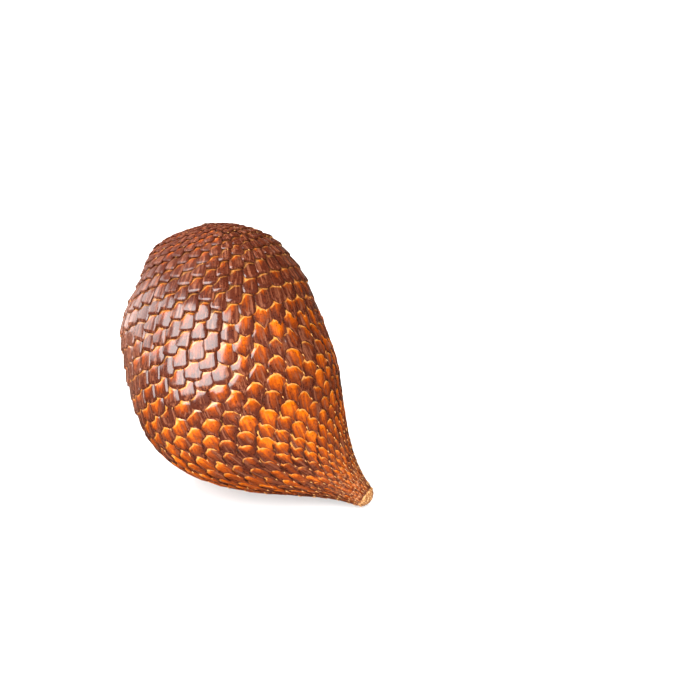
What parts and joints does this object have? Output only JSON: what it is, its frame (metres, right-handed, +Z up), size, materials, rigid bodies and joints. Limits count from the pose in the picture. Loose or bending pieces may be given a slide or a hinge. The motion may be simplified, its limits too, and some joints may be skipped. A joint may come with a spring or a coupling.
{
  "type": "snake fruit",
  "caption": "Whole snake fruit (salak): scaly rounded body that narrows to a bent neck with a corky tip, resting on a small flat spot.",
  "frame": {"origin": "middle of the small flat spot under the belly that the fruit rests on", "axes": "+Z up, +X level from the flat spot towards the corky tip, -Z out of the flat spot"},
  "size_m": [0.0587, 0.049, 0.0517],
  "materials": {
    "salak_skin": "satin overlapping dry scales, glossy orange at their roots and dull purple-brown at their tips"
  },
  "bodies": {
    "root": {"snake_fruit": "salak_skin"}
  },
  "joints": []
}
